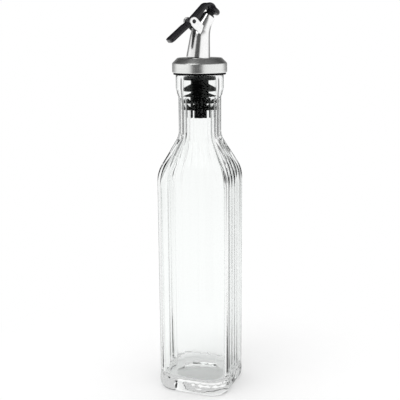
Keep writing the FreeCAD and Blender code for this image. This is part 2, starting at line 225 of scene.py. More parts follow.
@dataclass(frozen=True)
class ClearGlass(Finish):
    """Pressed clear glass: faint ripples from the mould, and painted shade that darkens its colour where the
    surface turns away.
    """

    title: str = "pressed_glass"
    clear: Colour = (0.985, 0.995, 0.99)
    # edge: painted shade colour that the glass darkens to at grazing angles
    edge: Colour = (0.28, 0.34, 0.32)
    painted_shade_from: float = 0.54
    shine: Colour = (0.30, 0.32, 0.31)
    ripple: float = 0.00003

    def shader(self, graph: Graph) -> bpy.types.Node:
        """Refracting shader with painted shade tinting its grazing edges, and ripples."""
        place = graph.place()
        ripples = graph.noise(graph.stretched(place, (1.0, 1.0, 0.35)), 110.0)
        # painted shade: the base colour darkens towards the glass's grazing edges
        facing = graph.signal("ShaderNodeLayerWeight", "Facing", None, {"Blend": 0.5})
        edge = facing.ramp(self.painted_shade_from, 1.0)
        return graph.node("ShaderNodeBsdfPrincipled", None, {
            "Base Color": graph.blend(edge, self.clear, self.edge),
            "Roughness": ripples * 0.01,
            "IOR": 1.5,
            "Transmission Weight": 1.0,
            "Specular Tint": (*self.shine, 1.0),
            "Normal": graph.bump(ripples, self.ripple),
        })


@dataclass(frozen=True)
class Moulding(Finish):
    """Moulded plastic or rubber with a fine grain and slight wear on its tone."""

    title: str
    dark: Colour
    light: Colour
    roughness: float
    grain: float
    gloss: float = 0.3

    def shader(self, graph: Graph) -> bpy.types.Node:
        """Opaque shader with grain."""
        place = graph.place()
        cloud = graph.noise(place, 160.0, 4.0)
        grain = graph.noise(place, 2600.0)
        return graph.node("ShaderNodeBsdfPrincipled", None, {
            "Base Color": graph.blend(cloud.ramp(0.3, 0.7), self.dark, self.light),
            "Roughness": cloud * 0.16 + (self.roughness - 0.08),
            "Specular IOR Level": self.gloss,
            "Normal": graph.bump(grain, self.grain),
        })


@dataclass(frozen=True)
class BrushedSteel(Finish):
    """Steel brushed round the bottle's axis."""

    title: str = "brushed_steel"
    dark: Colour = (0.74, 0.75, 0.74)
    light: Colour = (0.88, 0.885, 0.87)
    roughness: float = 0.30
    scratches: float = 5200.0
    scratch_depth: float = 0.000004

    def shader(self, graph: Graph) -> bpy.types.Node:
        """Metal shader with rings of fine scratches."""
        parts = graph.node("ShaderNodeSeparateXYZ", None, {0: graph.place()})
        across = Signal(graph, parts.outputs[0])
        along = Signal(graph, parts.outputs[1])
        height = Signal(graph, parts.outputs[2])
        turn = across.math("ARCTAN2", along)
        radius = (across * across + along * along).math("SQRT")
        rings = graph.node("ShaderNodeCombineXYZ", None, {
            0: turn * 0.9, 1: radius * self.scratches, 2: height * self.scratches})
        scratch = graph.noise(rings.outputs[0], 1.0, 3.0)
        return graph.node("ShaderNodeBsdfPrincipled", None, {
            "Base Color": graph.blend(scratch.ramp(0.25, 0.75), self.dark, self.light),
            "Metallic": 1.0,
            "Roughness": scratch * 0.16 + (self.roughness - 0.08),
            "Normal": graph.bump(scratch, self.scratch_depth),
        })


@dataclass(frozen=True)
class PolishedMetal(Finish):
    """Polished casting, with the slight waviness that polishing leaves."""

    title: str = "polished_metal"
    dark: Colour = (0.92, 0.92, 0.92)
    light: Colour = (0.98, 0.98, 0.975)
    roughness: float = 0.15
    wave_depth: float = 0.00006

    def shader(self, graph: Graph) -> bpy.types.Node:
        """Metal shader with waviness."""
        place = graph.place()
        wave = graph.noise(place, 180.0)
        haze = graph.noise(place, 900.0, 4.0)
        return graph.node("ShaderNodeBsdfPrincipled", None, {
            "Base Color": graph.blend(haze.ramp(0.3, 0.7), self.dark, self.light),
            "Metallic": 1.0,
            "Roughness": haze * 0.06 + self.roughness,
            "Normal": graph.bump(wave, self.wave_depth),
        })


@dataclass(frozen=True)
class PaleFloor(Finish):
    """Pale matt floor that runs into the white backdrop."""

    title: str = "pale_floor"
    white: float = 0.95
    fade_from: float = 0.07
    fade_to: float = 0.2
    glow: float = 0.32

    def shader(self, graph: Graph) -> bpy.types.Node:
        """Matt near the object, the backdrop's white further out."""
        place = graph.place()
        radius = graph.signal("ShaderNodeVectorMath", "Value", {"operation": "LENGTH"}, {0: place})
        grain = graph.noise(place, 60.0)
        pale = (self.white, self.white, self.white)
        paler = (self.white + 0.02,) * 3
        matt = graph.node("ShaderNodeBsdfDiffuse", None, {"Color": graph.blend(grain, pale, paler)})
        lit = graph.node("ShaderNodeEmission", None, {"Color": WHITE, "Strength": 1.0})
        fade = radius.ramp(self.fade_from, self.fade_to) * (1.0 - self.glow) + self.glow
        return graph.node("ShaderNodeMixShader", None, {0: fade, 1: matt.outputs[0], 2: lit.outputs[0]})


RUBBER = Moulding("stopper_rubber", (0.0015, 0.0015, 0.0018), (0.0040, 0.0040, 0.0045), 0.5, 0.000004, 0.05)
LID_PLASTIC = Moulding("lever_plastic", (0.0035, 0.003, 0.005), (0.0075, 0.0065, 0.01), 0.25, 0.000003, 0.5)
SEAL_RUBBER = Moulding("soft_seal", (0.010, 0.010, 0.011), (0.020, 0.020, 0.022), 0.6, 0.000004, 0.2)


# ---- meshes

def show(piece: bpy.types.Object) -> None:
    """Put an object in the scene."""
    bpy.context.scene.collection.objects.link(piece)


def angles_around(steps: int) -> Array:
    """Angles of even steps around a circle."""
    return np.linspace(0.0, 2 * math.pi, steps, endpoint=False)


def with_tangents(points: Array) -> tuple[Array, Array]:
    """Points of a line with its unit tangents."""
    tangents = np.gradient(points, axis=0)
    return points, tangents / np.linalg.norm(tangents, axis=1)[:, None]


def distances(points: Array) -> Array:
    """Distance of each point along its line."""
    return np.append(0.0, np.cumsum(np.linalg.norm(np.diff(points, axis=0), axis=1)))


def plain_mesh(piece: bpy.types.Object) -> Mesh:
    """Mesh of an object as its modifiers and its curve settings make it."""
    bpy.context.view_layer.update()
    return bpy.data.meshes.new_from_object(piece.evaluated_get(bpy.context.evaluated_depsgraph_get()))


def skin(name: str, rows: Array, ends: tuple[Array | None, Array | None] = (None, None),
         looped: bool = False) -> Mesh:
    """Closed mesh through rows of points.

    Args:
        name: the mesh's name.
        rows: points in millimetres, one row after another, each row a closed loop.
        ends: points that close the first and the last row.
        looped: the last row joins the first.

    Returns:
        The mesh, in metres.
    """
    count, around = rows.shape[:2]
    points = [*rows.reshape(-1, 3)]
    faces = []
    for row in range(count if looped else count - 1):
        low = row * around
        high = (row + 1) % count * around
        for step in range(around):
            after = (step + 1) % around
            faces.append((low + step, low + after, high + after, high + step))
    for end, row in zip(ends, (0, count - 1)):
        if end is None:
            continue
        for step in range(around):
            faces.append((row * around + (step + 1) % around, row * around + step, len(points)))
        points.append(end)
    mesh = bpy.data.meshes.new(name)
    mesh.from_pydata([tuple(point * MM) for point in points], [], faces)
    outward(mesh)
    return mesh


def outward(mesh: Mesh, crease: float = 50.0) -> None:
    """Turn a closed mesh's faces outwards and shade it smooth up to a crease angle in degrees."""
    work = bmesh.new()
    work.from_mesh(mesh)
    bmesh.ops.remove_doubles(work, verts=work.verts, dist=1e-8)
    bmesh.ops.recalc_face_normals(work, faces=work.faces)
    work.to_mesh(mesh)
    work.free()
    mesh.shade_smooth()
    mesh.set_sharp_from_angle(angle=math.radians(crease))


def softened(corners: Sequence[Pair], radius: float, steps: int = 4, closed: bool = False) -> list[Pair]:
    """Outline with its corners rounded.

    Args:
        corners: outline as points.
        radius: how far from a corner the rounding starts.
        steps: pieces of each rounding.
        closed: the last point joins the first.

    Returns:
        The rounded outline.
    """
    points = np.array(corners, float)
    count = len(points)
    out: list[Pair] = []
    for index in range(count):
        if not closed and index in (0, count - 1):
            out.append(tuple(points[index]))
            continue
        before = points[index - 1] - points[index]
        after = points[(index + 1) % count] - points[index]
        reach = min(radius, np.linalg.norm(before) / 2.2, np.linalg.norm(after) / 2.2)
        start = points[index] + before / np.linalg.norm(before) * reach
        end = points[index] + after / np.linalg.norm(after) * reach
        for step in range(steps + 1):
            share = step / steps
            bend = start * (1 - share) ** 2 + points[index] * 2 * share * (1 - share) + end * share ** 2
            out.append(tuple(bend))
    return out


def turned(name: str, outline: Sequence[Pair], centre: Array, axis: Array = UP,
           around: int = 128) -> Mesh:
    """Solid of revolution.

    Args:
        name: the mesh's name.
        outline: (radius, distance along the axis) from one end of the axis to the other.
        centre: where the axis starts, in the pourer's own frame.
        axis: direction of the axis there.
        around: steps around.

    Returns:
        The mesh in the row frame.
    """
    along = axis / np.linalg.norm(axis)
    front = np.cross(SIDEWAYS, along)
    angles = angles_around(around)
    ring = np.cos(angles)[:, None] * front + np.sin(angles)[:, None] * SIDEWAYS
    rows = np.array([centre + along * distance + ring * max(radius, 1e-4) for radius, distance in outline])
    return skin(name, to_row_frame(rows))


def to_row_frame(points: Array) -> Array:
    """Points of the pourer's own frame, where it pours along +X, turned to the row frame."""
    turn = math.radians(DATUM.pour_angle)
    x = points[..., 0] * math.cos(turn) - points[..., 1] * math.sin(turn)
    y = points[..., 0] * math.sin(turn) + points[..., 1] * math.cos(turn)
    return np.stack((x, y, points[..., 2]), axis=-1)


def finished(mesh: Mesh, name: str, finish: Finish, body: Body,
             nodes: Sequence[str] = ()) -> bpy.types.Object:
    """Object of a mesh, dressed and tied to its body.

    Args:
        mesh: the piece in the row frame.
        name: the piece's name.
        finish: its finish.
        body: the body that it rides on.
        nodes: CAD nodes that it stands for.

    Returns:
        The finished piece.
    """
    piece = bpy.data.objects.new(name, mesh)
    show(piece)
    mesh.materials.clear()
    mesh.materials.append(finish.material())
    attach(piece, body.value)
    if nodes:
        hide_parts(*nodes)
    LOG.info("%s: %d points on %s", name, len(mesh.vertices), body.value)
    return piece


def grown(piece: bpy.types.Object, tree: bpy.types.NodeTree, values: dict[str, object]) -> Mesh:
    """Mesh that a Geometry Nodes tree makes of an object, which is then removed.

    Args:
        piece: the object that the tree starts from.
        tree: the tree.
        values: input name to value.

    Returns:
        The plain mesh.
    """
    show(piece)
    modifier = piece.modifiers.new("form", "NODES")
    modifier.node_group = tree
    for item in tree.interface.items_tree:
        if item.item_type == "SOCKET" and item.in_out == "INPUT" and item.name in values:
            modifier[item.identifier] = values[item.name]
    mesh = plain_mesh(piece)
    piece.modifiers.clear()
    bpy.data.objects.remove(piece)
    return mesh


def form_tree(name: str, inputs: dict[str, str]) -> tuple[Graph, bpy.types.Node]:
    """New Geometry Nodes tree.

    Args:
        name: the tree's name.
        inputs: input name to socket type, after the geometry.

    Returns:
        Its graph and its input node.
    """
    tree = bpy.data.node_groups.new(name, "GeometryNodeTree")
    tree.interface.new_socket("Geometry", in_out="INPUT", socket_type="NodeSocketGeometry")
    for title, kind in inputs.items():
        tree.interface.new_socket(title, in_out="INPUT", socket_type=kind)
    tree.interface.new_socket("Geometry", in_out="OUTPUT", socket_type="NodeSocketGeometry")
    graph = Graph(tree)
    return graph, graph.node("NodeGroupInput")


def end_form(graph: Graph, geometry: Socket, finish: Socket) -> None:
    """Close a tree with Realize Instances and Set Material."""
    real = graph.node("GeometryNodeRealizeInstances", None, {"Geometry": geometry})
    dressed = graph.node("GeometryNodeSetMaterial", None, {"Geometry": real.outputs[0], "Material": finish})
    graph.node("NodeGroupOutput", None, {0: dressed.outputs[0]})


# ---- places taken from the frame

@dataclass(frozen=True)
class Datum:
    """Places shared by the pieces, in millimetres, in the pourer's own frame."""

    mouth_z: float
    flange_z: float
    band_z: float
    collar_top_z: float
    core_end_z: float
    pivot: Array
    pour_angle: float

    @staticmethod
    def of_frame() -> "Datum":
        """Read the places from the frame's boxes and its joint."""
        joint = frame["joints"][0]
        x, y, z = (value / MM for value in joint["pos_m"])
        angle = math.degrees(math.atan2(-y, -x))
        return Datum(
            mouth_z=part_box("bottle")[1][2] / MM,
            flange_z=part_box("stopper")[1][2] / MM,
            band_z=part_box("collar")[0][2] / MM,
            collar_top_z=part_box("collar")[1][2] / MM,
            core_end_z=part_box("stopper")[0][2] / MM,
            pivot=np.array((-math.hypot(x, y), 0.0, z)),
            pour_angle=angle,
        )


DATUM = Datum.of_frame()


# ---- bottle

@dataclass
class Bottle:
    """Square bottle of clear glass: plain heel, convex flutes, sloping shoulder and ring, in millimetres."""

    side: float = 50.4
    heel_side: float = 51.0
    corner: float = 12.2
    heel_tuck: float = 2.6
    heel_round: float = 6.6
    shoulder_z: float = 148.0
    slope: float = 25.0
    crest_r: float = 26.0
    root_r: float = 14.0
    neck_r: float = 14.3
    neck_length: float = 24.0
    ring_foot_r: float = 14.8
    ring_r: float = 15.9
    ring_taper: float = 5.0
    ring_edge: float = 0.8
    bore_r: float = 11.2
    wall: float = 3.0
    floor: float = 8.0
    floor_round: float = 5.0
    punt_r: float = 17.0
    punt_side: float = 5.0
    punt_rise: float = 1.2
    flutes: int = 32
    flute_depth: float = 0.55
    panel_calm: float = 0.82
    calm_from: float = 143.0
    calm_to: float = 159.0
    shoulder_flute: float = 1.15
    neck_flute: float = 0.64
    per_flute: int = 20
    heel_fade: float = 6.0
    ring_fade: float = 2.5
    mouth_depth: float = 4.0

    def __post_init__(self) -> None:
        """Work out the heights of the shoulder."""
        lean = math.radians(self.slope)
        self.crest_rise = self.crest_r * math.sin(lean)
        self.root_rise = self.root_r * math.sin(lean)
        crest_run = self.crest_r * (1 - math.cos(lean))
        root_run = self.root_r * (1 - math.cos(lean))
        self.slope_rise = (self.side / 2 - self.neck_r - crest_run - root_run) / math.tan(lean)
        self.neck_z = self.shoulder_z + self.crest_rise + self.slope_rise + self.root_rise
        self.ring_z = self.neck_z + self.neck_length

    def loop(self, half: float, corner: float, z: float) -> Array:
        """Points and normals around a rounded square.

        Args:
            half: half of its width.
            corner: radius of its corners.
            z: its height.

        Returns:
            An array of points and outward normals, six numbers each.
        """
        corner = min(corner, half)
        straight = half - corner
        bend = corner * math.pi / 2
        quarter = 2 * straight + bend
        out = []
        steps = self.flutes * self.per_flute
        for step in range(steps):
            turns = step / steps * 4
            face = int(turns)
            along = (turns - face) * quarter
            if along < straight:
                x, y, nx, ny = half, along, 1.0, 0.0
            elif along <= straight + bend:
                angle = (along - straight) / max(corner, 1e-9)
                nx, ny = math.cos(angle), math.sin(angle)
                x, y = straight + corner * nx, straight + corner * ny
            else:
                x, y, nx, ny = 2 * straight + bend - along, half, 0.0, 1.0
            for _ in range(face):
                x, y, nx, ny = -y, x, -ny, nx
            out.append((x, y, z, nx, ny, 0.0))
        return np.array(out)

    def shoulder_half(self, z: float) -> float:
        """Half width over the flutes on the shoulder."""
        rise = z - self.shoulder_z
        if rise <= self.crest_rise:
            return self.side / 2 - self.crest_r + math.sqrt(self.crest_r ** 2 - rise ** 2)
        if rise <= self.crest_rise + self.slope_rise:
            lean = math.radians(self.slope)
            crest_run = self.crest_r * (1 - math.cos(lean))
            return self.side / 2 - crest_run - (rise - self.crest_rise) * math.tan(lean)
        left = max(self.neck_z - z, 0.0)
        return self.neck_r + self.root_r - math.sqrt(self.root_r ** 2 - left ** 2)

    def outside(self, z: float) -> tuple[float, float, float]:
        """Half width, corner radius and share of the flutes' depth at a height."""
        heel = self.heel_side / 2
        if z < self.heel_round:
            drop = 1 - z / self.heel_round
            tuck = self.heel_tuck * (1 - math.sqrt(1 - drop ** 2))
            return heel - tuck, self.corner - tuck / 2, 0.0
        panel = smooth(z, self.heel_round, self.heel_round + self.heel_fade)
        panel *= 1 - smooth(z, self.calm_from, self.calm_to)
        calm = 1 - self.panel_calm * panel
        if z < self.shoulder_z:
            ledge = (heel - self.side / 2) * (1 - smooth(z, self.heel_round, self.heel_round + 2.5))
            share = smooth(z, self.heel_round, self.heel_round + 3.4) * self.shoulder_flute * calm
            return self.side / 2 + ledge, self.corner, share
        rise = min((z - self.shoulder_z) / (self.neck_z - self.shoulder_z), 1.0)
        fade = 1 - smooth(z, self.ring_z - self.ring_fade, self.ring_z)
        share = (self.shoulder_flute * (1 - rise) + self.neck_flute * rise) * fade * calm
        return self.shoulder_half(z), self.corner + (self.neck_r - self.corner) * rise, share

    def inside(self, z: float) -> tuple[float, float]:
        """Half width and corner radius of the hollow at a height."""
        rise = min(max((z - self.shoulder_z) / (self.neck_z - self.shoulder_z), 0.0), 1.0)
        outer = self.side / 2 if z <= self.shoulder_z else self.shoulder_half(z)
        half = outer - self.wall - (self.neck_r - self.bore_r - self.wall) * rise
        corner = self.corner - self.wall + (self.bore_r - self.corner + self.wall) * rise
        if z < self.floor + self.floor_round:
            drop = 1 - (z - self.floor) / self.floor_round
            tuck = self.floor_round * (1 - math.sqrt(max(1 - drop ** 2, 0.0)))
            half -= tuck
            corner -= tuck / 2
        return half, corner

    def rows(self) -> tuple[Array, Array]:
        """Rows of points from the middle of the base up the outside and down the inside.

        Returns:
            The rows with their normals, and each row's share of the flutes' depth.
        """
        mouth = DATUM.mouth_z
        rows = []
        shares = []

        def add(half: float, corner: float, z: float, share: float = 0.0) -> None:
            """Add one row."""
            rows.append(self.loop(half, corner, z))
            shares.append(share)

        for radius, z in ((self.punt_r - self.punt_side, self.punt_rise), (self.punt_r, 0.0)):
            add(radius, radius, z)
        for step in range(11):
            z = self.heel_round * (1 - math.cos(math.pi / 2 * step / 10))
            half, corner, share = self.outside(z)
            add(half, corner, z, share)
        heights = [
            *np.linspace(self.heel_round, self.heel_round + self.heel_fade, 11)[1:],
            self.heel_round + 7,
            *np.linspace(self.heel_round + 12, self.calm_from - 6, 4),
            *np.linspace(self.calm_from - 1, self.shoulder_z, 6),
            *np.linspace(self.shoulder_z, self.neck_z, 27)[1:],
            *np.linspace(self.neck_z, self.ring_z - self.ring_fade, 3)[1:],
            *np.linspace(self.ring_z - self.ring_fade, self.ring_z, 5)[1:],
        ]
        for z in heights:
            half, corner, share = self.outside(z)
            add(half, corner, z, share)
        rim = softened([
            (self.ring_foot_r, self.ring_z + 0.02),
            (self.ring_r, self.ring_z + self.ring_taper),
            (self.ring_r, mouth),
            (self.bore_r, mouth),
            (self.bore_r, mouth - self.mouth_depth),
        ], self.ring_edge)
        for radius, z in rim:
            add(radius, radius, z)
        inner = [
            *np.linspace(mouth - self.mouth_depth, self.neck_z, 4)[1:],
            *np.linspace(self.neck_z, self.shoulder_z, 23)[1:],
            *np.linspace(self.shoulder_z, self.floor + self.floor_round, 4)[1:],
        ]
        for z in inner:
            add(*self.inside(z), z)
        for step in range(1, 10):
            z = self.floor + self.floor_round * (1 - math.sin(math.pi / 2 * step / 9))
            add(*self.inside(z), z)
        return np.array(rows), np.array(shares)

    def flute_tree(self) -> bpy.types.NodeTree:
        """Tree that sinks the valleys between the flutes."""
        graph, start = form_tree("flutes", {
            "Flutes": "NodeSocketFloat", "Depth": "NodeSocketFloat", "Finish": "NodeSocketMaterial"})
        stored = "GeometryNodeInputNamedAttribute"
        around = graph.signal(stored, "Attribute", {"data_type": "FLOAT"}, {"Name": "around"})
        share = graph.signal(stored, "Attribute", {"data_type": "FLOAT"}, {"Name": "share"})
        out = graph.node(stored, {"data_type": "FLOAT_VECTOR"}, {"Name": "outward"})
        flutes = Signal(graph, start.outputs["Flutes"])
        depth = Signal(graph, start.outputs["Depth"])
        off_crest = ((around * flutes + 0.5).math("FRACT") - 0.5) * 2.0
        sink = off_crest * off_crest * share * depth
        shift = graph.node("ShaderNodeVectorMath", {"operation": "SCALE"}, {
            0: out.outputs["Attribute"], "Scale": -sink})
        moved = graph.node("GeometryNodeSetPosition", None, {
            "Geometry": start.outputs[0], "Offset": shift.outputs[0]})
        end_form(graph, moved.outputs[0], start.outputs["Finish"])
        return graph.tree

    def build(self) -> None:
        """Make the glass."""
        finish = ClearGlass()
        rows, shares = self.rows()
        low = np.array((0.0, 0.0, self.punt_rise))
        high = np.array((0.0, 0.0, self.floor))
        count, around = rows.shape[:2]
        mesh = skin("glass_bottle", rows[..., :3], (low, high))
        if len(mesh.vertices) != count * around + 2:
            raise ValueError("rows of the bottle coincide")
        values = {
            "around": np.append(np.tile(np.arange(around) / around, count), (0.0, 0.0)),
            "share": np.append(np.repeat(shares, around), (0.0, 0.0)),
        }
        for name, numbers in values.items():
            mesh.attributes.new(name, "FLOAT", "POINT").data.foreach_set("value", numbers)
        normals = np.append(rows[..., 3:].reshape(-1), np.zeros(6))
        mesh.attributes.new("outward", "FLOAT_VECTOR", "POINT").data.foreach_set("vector", normals)
        piece = bpy.data.objects.new("bottle_form", mesh)
        made = grown(piece, self.flute_tree(), {
            "Flutes": float(self.flutes), "Depth": self.flute_depth * MM, "Finish": finish.material()})
        outward(made, 60.0)
        finished(made, "glass_bottle", finish, Body.VESSEL, ["bottle"])


def smooth(value: float, start: float, end: float) -> float:
    """Smooth rise from 0 at start to 1 at end."""
    share = min(max((value - start) / (end - start), 0.0), 1.0)
    return share * share * (3 - 2 * share)


# ---- stopper and collar

@dataclass
class Stopper:
    """Moulded stopper: core, fins, land and flange, in millimetres."""

    core_r: float = 5.95
    fins: int = 4
    pitch: float = 4.4
    lowest: float = 5.6
    fin_r: float = 11.05
    fin_rim: float = 1.1
    fin_rise: float = 2.4
    land_r: float = 10.8
    land_depth: float = 3.4
    flange_r: float = 17.5
    flange_t: float = 1.3
    passage_r: float = 1.8
    fin_sink: float = 0.2
    fin_edge: float = 0.35
    core_edge: float = 0.3

    def fin(self) -> Mesh:
        """One fin at the place of the lowest."""
        outline = softened([
            (self.core_r - self.fin_sink, 0.0),
            (self.fin_r, 0.0),
            (self.fin_r, self.fin_rim),
            (self.core_r - self.fin_sink, self.fin_rim + self.fin_rise),
        ], self.fin_edge, 3, closed=True)
        outline.append(outline[0])
        start = UP * (DATUM.core_end_z + self.lowest)
        return turned("fin", outline, start, around=96)

    def core(self) -> Mesh:
        """Core, land and flange around the oil passage."""
        top = DATUM.flange_z - DATUM.core_end_z
        mouth = DATUM.mouth_z - DATUM.core_end_z
        outline = softened([
            (self.passage_r, 0.0),
            (self.core_r, 0.0),
            (self.core_r, mouth - self.land_depth),
            (self.land_r, mouth - self.land_depth),
            (self.land_r, top - self.flange_t),
            (self.flange_r, top - self.flange_t),
            (self.flange_r, top),
            (self.passage_r, top),
        ], self.core_edge, 3, closed=True)
        outline.append(outline[0])
        return turned("core", outline, UP * DATUM.core_end_z)

    def fin_tree(self) -> bpy.types.NodeTree:
        """Tree that stacks the fins and joins them to the core."""
        graph, start = form_tree("fins", {
            "Fin": "NodeSocketObject", "Fins": "NodeSocketInt", "Pitch": "NodeSocketFloat",
            "Finish": "NodeSocketMaterial"})
        step = graph.node("ShaderNodeCombineXYZ", None, {2: start.outputs["Pitch"]})
        line = graph.node("GeometryNodeMeshLine", None, {
            "Count": start.outputs["Fins"], "Offset": step.outputs[0]})
        fin = graph.node("GeometryNodeObjectInfo", None, {"Object": start.outputs["Fin"]})
        stack = graph.node("GeometryNodeInstanceOnPoints", None, {
            "Points": line.outputs[0], "Instance": fin.outputs["Geometry"]})
        both = graph.node("GeometryNodeJoinGeometry")
        graph.tree.links.new(stack.outputs[0], both.inputs[0])
        graph.tree.links.new(start.outputs[0], both.inputs[0])
        end_form(graph, both.outputs[0], start.outputs["Finish"])
        return graph.tree

    def build(self) -> None:
        """Make the stopper."""
        fin = bpy.data.objects.new("fin", self.fin())
        piece = bpy.data.objects.new("stopper_form", self.core())
        made = grown(piece, self.fin_tree(), {
            "Fin": fin, "Fins": self.fins, "Pitch": self.pitch * MM, "Finish": RUBBER.material()})
        bpy.data.objects.remove(fin)
        finished(made, "finned_stopper", RUBBER, Body.VESSEL, ["stopper"])


@dataclass
class Collar:
    """Brushed steel collar on the flange, in millimetres."""

    radius: float = 18.25
    chamfer_run: float = 3.55
    chamfer_height: float = 3.5
    edge: float = 0.55

    def build(self) -> None:
        """Make the collar."""
        height = DATUM.collar_top_z - DATUM.band_z
        outline = softened([
            (0.0, 0.0),
            (self.radius, 0.0),
            (self.radius, height - self.chamfer_height),
            (self.radius - self.chamfer_run, height),
            (0.0, height),
        ], self.edge, 6)
        mesh = turned("collar", outline, UP * DATUM.band_z, around=192)
        finished(mesh, "steel_collar", BrushedSteel(), Body.VESSEL, ["collar"])


# ---- spout

@dataclass
class Spout:
    """Polished spout: leaning stem, bent beak, two ears and the oil channel, in millimetres."""

    foot_shift: float = -1.0
    foot_r: float = 7.9
    stem_r: float = 6.15
    knee: Pair = (0.8, 17.5)
    beak_angle: float = 58.0
    beak_length: float = 11.1
    lip_r: float = 4.5
    channel_r: float = 3.2
    bend: float = 6.0
    lip_edge: float = 0.35
    ear_t: float = 1.5
    ear_r: float = 2.8
    ear_inside: float = 4.3
    ear_slope: float = 45.0
    ear_length: float = 9.5
    pin_hole_r: float = 1.25
    ear_edge: float = 0.22

    def knee_point(self) -> Array:
        """Where the lines of stem and beak cross."""
        return np.array((self.knee[0], 0.0, DATUM.collar_top_z + self.knee[1]))

    def beak_direction(self) -> Array:
        """Direction of the beak."""
        angle = math.radians(self.beak_angle)
        return np.array((math.cos(angle), 0.0, math.sin(angle)))

    def lip(self) -> Array:
        """Middle of the lip."""
        return self.knee_point() + self.beak_direction() * self.beak_length

    def centre_line(self, steps: int) -> tuple[Array, Array]:
        """Points and directions from the foot to the lip, with a rounded knee.

        Args:
            steps: number of points.

        Returns:
            The points and the unit tangents.
        """
        foot = np.array((self.foot_shift, 0.0, DATUM.collar_top_z))
        knee = self.knee_point()
        up = (knee - foot) / np.linalg.norm(knee - foot)
        start = knee - up * self.bend
        end = knee + self.beak_direction() * self.bend
        straight = [foot + (start - foot) * share for share in np.linspace(0, 1, steps // 3, endpoint=False)]
        curve = [start * (1 - t) ** 2 + knee * 2 * t * (1 - t) + end * t ** 2
                 for t in np.linspace(0, 1, steps // 3, endpoint=False)]
        last = [end + (self.lip() - end) * share for share in np.linspace(0, 1, steps // 3)]
        return with_tangents(np.array(straight + curve + last))

    def tube(self) -> Mesh:
        """Stem and beak as one tube around the channel."""
        points, tangents = self.centre_line(66)
        lengths = distances(points)
        knee_at = np.linalg.norm(self.knee_point() - points[0])
        angles = angles_around(96)

        def ring(index: int, radius: float, along: float = 0.0) -> Array:
            """One section."""
            front = np.cross(SIDEWAYS, tangents[index])
            centre = points[index] + tangents[index] * along
            return centre + radius * (np.cos(angles)[:, None] * front + np.sin(angles)[:, None] * SIDEWAYS)

        def outer(at: float) -> float:
            """Outside radius at a distance from the foot."""
            foot = self.foot_r + (self.stem_r - self.foot_r) * min(at / knee_at, 1.0)
            return foot + (self.lip_r - self.stem_r) * smooth(at, knee_at * 0.8, lengths[-1] * 0.97)

        rows = [ring(index, outer(at)) for index, at in enumerate(lengths[:-1])]
        last = len(points) - 1
        edge = self.lip_edge
        bends = [math.pi / 2 * step / 5 for step in range(1, 6)]
        for bend in bends:
            inset, drop = edge * (1 - math.cos(bend)), edge * (1 - math.sin(bend))
            rows.append(ring(last, self.lip_r - inset, -drop))
        for bend in bends:
            inset, drop = edge * (1 - math.sin(bend)), edge * (1 - math.cos(bend))
            rows.append(ring(last, self.channel_r + inset, -drop))
        for index in range(last - 2, -1, -2):
            rows.append(ring(index, self.channel_r))
        return skin("tube", to_row_frame(np.array(rows)), looped=True)

    def ear(self, side: int) -> Mesh:
        """One ear with the hole for the lid's pin.

        Args:
            side: -1 or 1, across the beak.

        Returns:
            The plate's mesh in the row frame.
        """
        slope = math.radians(self.ear_slope)
        down = np.array((math.cos(slope), -math.sin(slope)))
        across = np.array((math.sin(slope), math.cos(slope)))
        arc = [across * self.ear_r * math.cos(t) - down * self.ear_r * math.sin(t)
               for t in np.linspace(0.0, math.pi, 25)]
        outline = [
            down * (self.ear_length - self.ear_r) + across * self.ear_r, *arc,
            down * self.ear_length - across * self.ear_r,
        ]
        hole = [np.array((math.cos(t), math.sin(t))) * self.pin_hole_r
                for t in angles_around(32)]
        curve = bpy.data.curves.new("ear", "CURVE")
        curve.dimensions = "2D"
        curve.fill_mode = "BOTH"
        curve.extrude = self.ear_t / 2 - self.ear_edge
        curve.bevel_depth = self.ear_edge
        curve.bevel_resolution = 2
        curve.offset = -self.ear_edge
        for loop in (outline, hole):
            spline = curve.splines.new("POLY")
            spline.points.add(len(loop) - 1)
            for point, place in zip(spline.points, loop):
                point.co = (place[0], place[1], 0.0, 1.0)
            spline.use_cyclic_u = True
        plate = bpy.data.objects.new("ear_form", curve)
        show(plate)
        mesh = plain_mesh(plate)
        bpy.data.objects.remove(plate)
        flat = np.empty(len(mesh.vertices) * 3)
        mesh.vertices.foreach_get("co", flat)
        flat = flat.reshape(-1, 3)
        across_beak = flat[:, 2] + side * (self.ear_inside + self.ear_t / 2)
        placed = np.stack((DATUM.pivot[0] + flat[:, 0], across_beak, DATUM.pivot[2] + flat[:, 1]), axis=-1)
        mesh.vertices.foreach_set("co", (to_row_frame(placed) * MM).reshape(-1))
        outward(mesh, 35.0)
        return mesh

    def build(self) -> None:
        """Make the spout's three pieces."""
        metal = PolishedMetal()
        finished(self.tube(), "spout_tube", metal, Body.VESSEL, ["spout"])
        for side, name in ((-1, "spout_ear_right"), (1, "spout_ear_left")):
            finished(self.ear(side), name, metal, Body.VESSEL)


# ---- lid

